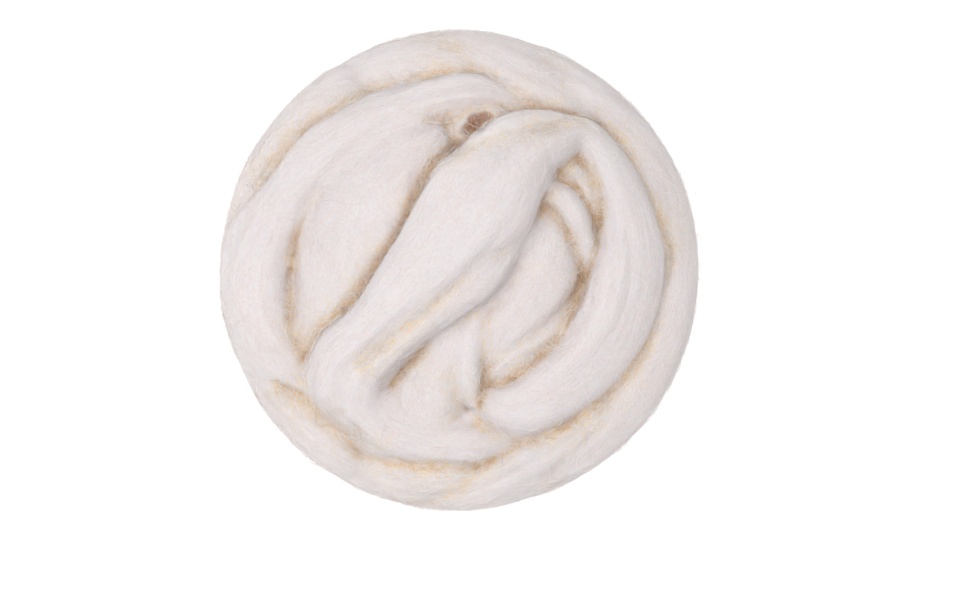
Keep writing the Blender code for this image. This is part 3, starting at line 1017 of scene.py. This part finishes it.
leftArc = {
    "seed": 13,
    "level": 2.0,
    "rows": (
        (-35.5, -47.0, 56, 8.0, 8.5),
        (-44.0, -40.5, 60, 9.0, 9.5),
        (-55.0, -33.5, 60.5, 11.0, 9.5),
        (-64.0, -24.5, 60, 15.0, 10.0),
        (-67.8, -11.5, 58, 17.5, 11.0),
        (-67.8, 3.0, 59, 16.8, 11.0),
        (-61.0, 17.5, 61, 13.0, 11.0),
        (-53.8, 28.5, 64, 11.0, 9.5),
        (-45.5, 38.7, 66, 10.6, 9.0),
        (-33.5, 46.5, 67, 9.8, 8.5),
        (-19.5, 51.8, 67, 9.0, 8.5),
        (-6.0, 56.0, 67, 8.0, 8.5),
        (4.0, 57.3, 67, 7.0, 8.0),
        (13.0, 55.6, 66, 4.4, 7.0),
        (22.0, 52.5, 65, 4.0, 5.5),
    ),
}
loopLock = {
    "seed": 21,
    "level": 3.3,
    "rows": (
        (19.0, 26.0, 72, 3.6, 4.0),
        (27.5, 25.6, 75, 4.0, 4.5),
        (33.0, 24.0, 76, 4.2, 4.6),
        (37.0, 19.5, 76, 4.2, 4.6),
        (39.6, 13.0, 74, 3.9, 4.6),
        (41.5, 5.0, 71, 3.2, 4.2),
        (42.0, -4.0, 66, 2.6, 3.5),
    ),
}
foldLining = {
    "seed": 27,
    "level": 1.9,
    "rows": (
        (20.0, 38.0, 66, 6.0, 7.0),
        (30.0, 36.0, 68, 8.5, 8.5),
        (38.5, 30.0, 66, 10.5, 11.5),
        (45.0, 18.5, 62, 10.5, 12.0),
        (48.0, 7.0, 58, 7.0, 8.0),
    ),
}
holeWisp = {
    "seed": 31,
    "level": 1.7,
    "rows": (
        (-9.0, 44.0, 66, 4.5, 4.5),
        (0.0, 46.5, 69, 7.0, 5.5),
        (9.0, 49.0, 69, 6.5, 5.5),
        (19.0, 48.5, 65, 4.5, 5.0),
    ),
}
loopBed = {
    "seed": 33,
    "level": 2.2,
    "rows": (
        (27.0, 27.0, 64, 8.0, 8.0),
        (23.0, 11.0, 66, 11.5, 9.0),
        (15.0, -6.0, 67, 11.0, 9.0),
        (9.0, -20.0, 65, 9.0, 8.0),
        (4.0, -34.0, 62, 7.0, 8.0),
        (4.0, -48.0, 58, 6.0, 7.0),
    ),
}
loopUpper = {
    "seed": 34,
    "level": 2.4,
    "rows": (
        (21.5, 28.0, 67, 6.0, 6.0),
        (27.5, 17.5, 69, 10.0, 9.0),
        (28.5, 2.0, 69, 13.0, 10.0),
        (23.0, -10.0, 69, 11.0, 9.0),
        (14.0, -19.5, 69, 8.5, 8.0),
        (7.0, -31.0, 65, 6.0, 6.0),
    ),
}
loopLower = {
    "seed": 55,
    "level": 2.3,
    "rows": (
        (43.0, -2.0, 60, 5.0, 6.0),
        (35.5, -14.0, 63, 9.0, 8.0),
        (25.0, -23.5, 65, 10.5, 8.5),
        (14.5, -31.5, 65, 9.0, 8.0),
        (7.0, -38.5, 62, 5.0, 6.0),
    ),
}
uprightLock = {
    "seed": 89,
    "level": 3.0,
    "rows": (
        (6.0, -10.0, 71, 6.5, 6.0),
        (3.0, -19.0, 71, 6.5, 6.0),
        (1.5, -29.0, 71, 6.0, 6.0),
        (2.5, -37.0, 71, 5.0, 5.0),
        (5.0, -43.0, 70, 3.0, 3.5),
    ),
}
lowFan = {
    "seed": 144,
    "level": 2.6,
    "rows": (
        (-2.0, -17.0, 70, 6.0, 6.0),
        (-6.0, -29.0, 69, 9.0, 7.5),
        (-10.5, -40.0, 67, 12.5, 8.5),
        (-13.0, -50.0, 62, 13.5, 8.0),
    ),
}
ringLeft = {
    "seed": 233,
    "level": 1.0,
    "rows": (
        (-66.0, -6.0, 46, 12.0, 12.0),
        (-67.0, 12.0, 49, 14.0, 12.5),
        (-61.0, 29.0, 52, 15.0, 13.0),
        (-50.0, 45.5, 54, 15.0, 13.5),
        (-37.5, 56.5, 54, 14.5, 13.5),
        (-28.0, 60.0, 50, 11.0, 9.0),
    ),
}
ringTop = {
    "seed": 377,
    "level": 1.05,
    "rows": (
        (-48.0, 46.0, 46, 11.0, 11.5),
        (-35.0, 58.0, 51, 13.5, 12.5),
        (-19.0, 65.0, 53, 15.0, 13.0),
        (-2.0, 66.0, 55, 14.0, 12.5),
        (12.0, 62.0, 52, 12.0, 11.0),
    ),
}

# Rows that the ring uses twice, once turned over, and the two tails that go on underneath.
ringCrossing = (
    (-24.0, 72.5, 41, 12.5, 7.0),
    (-8.0, 75.5, 50, 12.5, 7.5),
    (7.0, 72.5, 56, 12.5, 9.0),
    (22.0, 63.5, 57, 14.5, 10.5),
    (37.0, 53.5, 57, 14.0, 11.0),
    (49.0, 42.0, 56, 12.5, 10.0),
    (57.0, 29.0, 52, 10.0, 8.0),
)
ringRight = (
    (2.0, 70.5, 46, 11.0, 7.0),
    (19.0, 68.0, 51, 13.0, 9.0),
    (36.0, 58.5, 54, 14.5, 12.0),
    (51.5, 45.0, 55, 15.0, 12.5),
    (62.5, 27.5, 55, 15.0, 12.5),
    (67.8, 9.5, 54, 15.0, 12.3),
)
upperTail = (
    (60.0, 16.0, 38, 9.0, 8.0),
    (59.0, 2.0, 25, 12.0, 9.5),
    (44.0, -9.0, 14, 14.5, 10.0),
    (22.0, -8.0, 9, 15.5, 9.5),
    (0.0, 1.0, 8, 15.5, 9.5),
    (-22.0, 12.0, 9, 15.5, 9.5),
    (-41.0, 28.0, 15, 15.0, 10.0),
    (-46.0, 46.0, 26, 14.0, 9.5),
    (-37.0, 61.0, 34, 13.0, 8.5),
)
lowerTail = (
    (46.0, 44.0, 37, 9.0, 8.0),
    (33.0, 50.0, 25, 12.5, 9.5),
    (18.0, 40.0, 14, 14.5, 10.0),
    (8.0, 20.0, 9, 15.5, 9.5),
    (1.0, 0.0, 8, 15.5, 9.5),
    (-7.0, -21.0, 9, 15.5, 9.5),
    (-18.0, -41.0, 14, 15.0, 10.0),
    (-29.0, -56.0, 26, 14.0, 9.5),
    (-32.0, -65.0, 34, 13.0, 8.5),
)

# The side and the inside aren't seen in the photo, so the rows of these three are worked out.
winding = {
    "seed": 610,
    "level": 0.5,
    "turns": 2.45,
    "rowsPerTurn": 12,
    "wide": 15.5,
    "loft": 11.5,
    "out": 80,  # the ball's radius and half its height
    "up": 47,
    "drop": 14.5,  # how far in from the outline the strand's middle lies
    "dropUp": 0.6,
    "low": math.radians(-62),
    "high": math.radians(-4),
    "climb": 0.8,  # under 1 climbs faster at first
    "sway": math.radians(9),
    "swayPace": 1.37,  # sways in a turn
    "swayStart": 0.6,
}
shoulder = {
    "seed": 911,
    "level": 0.1,
    "turn": math.radians(380),
    "rowCount": 20,
    "out": 53,
    "up": 48,
    "wide": 10,
    "loft": 15,
}
innerTurns = {"seed": 987, "level": 0, "rowCount": 13, "reach": 0.96, "wide": 61, "loft": 38, "middle": 36}


def turnedOver(rows):
    # the same stretch at the bottom of the picture
    return tuple((x, -y, z, wide, loft) for x, y, z, wide, loft in rows)


def windingRows(look):
    # the strand that climbs the side of the ball, each turn tilted a different way from the last
    count = int(look["rowsPerTurn"] * look["turns"])
    rows = []
    for i in range(count + 1):
        share = i / count
        turn = 2 * math.pi * look["turns"] * share
        latitude = look["low"] + (look["high"] - look["low"]) * share ** look["climb"]
        sway = look["sway"] * math.sin(look["swayPace"] * turn + look["swayStart"])
        latitude += sway * math.sin(math.pi * share) ** 0.5
        out = (look["out"] - look["drop"]) * math.cos(latitude)
        up = look["up"] + (look["up"] - look["dropUp"] * look["drop"]) * math.sin(latitude)
        rows.append((out * math.cos(turn), out * math.sin(turn), up, look["wide"], look["loft"]))
    return tuple(rows)


def shoulderRows(look):
    # a hidden turn round the inner ones, which laps over its own start
    rows = []
    for turn in np.linspace(0, look["turn"], look["rowCount"]):
        out = (look["out"] * math.cos(turn), look["out"] * math.sin(turn))
        rows.append((*out, look["up"], look["wide"], look["loft"]))
    return tuple(rows)


def innerRows(look):
    # the hidden turns, as one full shape that is seen only at the bottom of the deepest hollows
    rows = []
    for share in np.linspace(-look["reach"], look["reach"], look["rowCount"]):
        size = math.sqrt(1 - share**2)
        rows.append((look["wide"] * share, 0, look["middle"], look["wide"] * size, look["loft"] * size))
    return tuple(rows)


stretches = [
    layStretch(look)
    for look in (
        topStrand,
        topBand,
        bottomCrescent,
        topLip,
        cornerPad,
        leftFan,
        leftArc,
        loopLock,
        foldLining,
        holeWisp,
        loopBed,
        loopUpper,
        loopLower,
        uprightLock,
        lowFan,
        ringLeft,
        {**ringLeft, "seed": 241, "rows": turnedOver(ringLeft["rows"])},
        ringTop,
        {**ringTop, "seed": 383, "rows": turnedOver(ringTop["rows"])},
        {"seed": 401, "level": 1.3, "rows": ringRight + turnedOver(ringRight)[::-1]},
        {"seed": 419, "level": 1.4, "rows": upperTail + ringCrossing},
        {"seed": 433, "level": 1.4, "rows": lowerTail + turnedOver(ringCrossing)},
        {**winding, "rows": windingRows(winding)},
        {**shoulder, "rows": shoulderRows(shoulder)},
        {**innerTurns, "rows": innerRows(innerTurns)},
    )
]
print("laid", len(stretches), "stretches of roving")

points, faces = joinedSkin(stretches)
points, filled, join = creased(evened(points, faces), faces, stretches)
skin = combed(points, faces, filled, stretches)
print("joined them under one skin of", 2 * len(faces), "triangles")

tree = BVHTree.FromPolygons(skin["points"].tolist(), faces.tolist())
skin = shaded(skin, tree, join)
print("shaded the folds")

skinPiece("rovingSkin", stretches, skin, woolSkin(skinLook))

# The three kinds of fibre, in millimetres, and their turns in radians.
combedFibres = {
    "seed": 7,
    "count": 44000,
    "points": 6,
    "pieces": 3,
    "length": (4, 12),
    "lean": 0.25,
    "bend": 0.10,
    "crimp": (0.0, 0.10),
    "crimpPitch": (5, 9),
    "lift": 0.14,
    "sink": -0.02,
    "width": (0.035, 0.075),
    "roll": 0.25,
    "lowBelow": 40,  # the height below which fewer are drawn, and their share
    "lowShare": 0.6,
    "creaseGain": 0.3,  # how much thicker they lie in a crease
}
looseFibres = {
    "seed": 11,
    "count": 7600,
    "points": 13,
    "pieces": 1,
    "length": (4, 14),
    "lean": 0.6,
    "bend": 0.3,
    "crimp": (0.1, 0.6),
    "crimpPitch": (3.0, 7),
    "lift": 0.45,
    "sink": -0.05,
    "width": (0.08, 0.17),
    "roll": 0.8,
    "lowBelow": 40,
    "lowShare": 0.5,
    "creaseGain": 30.0,
}
creaseCurls = {
    "seed": 19,
    "count": 8500,
    "points": 10,
    "pieces": 1,
    "length": (2, 6),
    "lean": 1.2,
    "bend": 0.9,
    "crimp": (0.2, 0.7),
    "crimpPitch": (1.5, 4),
    "lift": 0.45,
    "sink": -0.05,
    "width": (0.09, 0.18),
    "roll": 0.8,
    "lowBelow": 45,
    "lowShare": 0.2,
    "creaseGain": 150.0,
}
fibreFinish = woolFibre(fibreLook)
fibres = []
kinds = {"combedFibres": combedFibres, "looseFibres": looseFibres, "creaseCurls": creaseCurls}
for name, look in kinds.items():
    fibres += fibrePieces(name, stretches, skin, tree, look, fibreFinish)
print("fibres hold", sum(len(piece.data.polygons) for piece in fibres) * 2, "triangles")


# The floor, the lights and the camera.
studio = {
    "floor": (0.55, 0.55, 0.55, 1),
    "floorPale": (0.57, 0.57, 0.57, 1),
    "paleFrom": 0.3,
    "paleTo": 0.7,
    "floorReach": 4,
    "floorRoughness": 0.9,
    "floorGlow": 0.72,
    "sky": 0.37,
    "lights": (
        {"name": "key", "place": (-0.48, 0.00, 0.92), "size": 0.8, "power": 3.4},
        {"name": "fill", "place": (0.8, -0.3, 1.5), "size": 1.6, "power": 2.5},
        {"name": "top", "place": (-0.05, 0.03, 2.2), "size": 0.5, "power": 12.2},
    ),
    "lens": 200,
}


def makeFloor(look):
    finish = Finish("paleFloor")
    patch = finish.noise(finish.place(), detail=2.0)
    paleness = finish.between(patch, look["paleFrom"], look["paleTo"])
    material = finish.surface(
        {
            "Base Color": finish.blend(paleness, look["floor"], look["floorPale"]),
            "Roughness": look["floorRoughness"],
            "Specular IOR Level": 0.0,
            "Emission Color": (1, 1, 1, 1),
            "Emission Strength": look["floorGlow"],
        }
    )
    reach = look["floorReach"]
    corners = [(-reach, -reach, 0), (reach, -reach, 0), (reach, reach, 0), (-reach, reach, 0)]
    mesh = bpy.data.meshes.new("floor")
    mesh.from_pydata(corners, [], [(0, 1, 2, 3)])
    mesh.materials.append(material)
    floor = bpy.data.objects.new("floor", mesh)
    bpy.context.scene.collection.objects.link(floor)


def makeLight(look):
    light = bpy.data.lights.new(look["name"], "AREA")
    light.shape = "DISK"
    light.size = look["size"]
    light.energy = look["power"]
    lamp = bpy.data.objects.new(look["name"], light)
    lamp.location = look["place"]
    toBall = Vector((0, 0, ballMiddle)) - lamp.location
    lamp.rotation_euler = toBall.to_track_quat("-Z", "Y").to_euler()
    bpy.context.scene.collection.objects.link(lamp)


def makeCamera(look):
    # The photo is 970 by 600 pixels, and the ball is 480 across in it, with its middle at 460, 270.5.
    pictureWide, pictureHigh = 970, 600
    ballWide, ballAcross, ballDown = 480, 460, 270.5
    pixel = 2 * ballRadius / ballWide
    camera = bpy.data.cameras.new("camera")
    camera.lens = look["lens"]
    distance = camera.lens / camera.sensor_width * pictureWide * pixel
    stand = bpy.data.objects.new("camera", camera)
    stand.location = (
        (pictureWide / 2 - ballAcross) * pixel,
        (ballDown - pictureHigh / 2) * pixel,
        ballMiddle + distance,
    )
    bpy.context.scene.collection.objects.link(stand)
    bpy.context.scene.camera = stand


def makeSky(look):
    world = bpy.data.worlds.new("studio")
    world.use_nodes = True
    background = world.node_tree.nodes["Background"]
    background.inputs["Color"].default_value = (1, 1, 1, 1)
    background.inputs["Strength"].default_value = look["sky"]
    bpy.context.scene.world = world
    bpy.context.scene.view_settings.view_transform = "Standard"


makeFloor(studio)
for look in studio["lights"]:
    makeLight(look)
makeSky(studio)
makeCamera(studio)
print("set the studio")
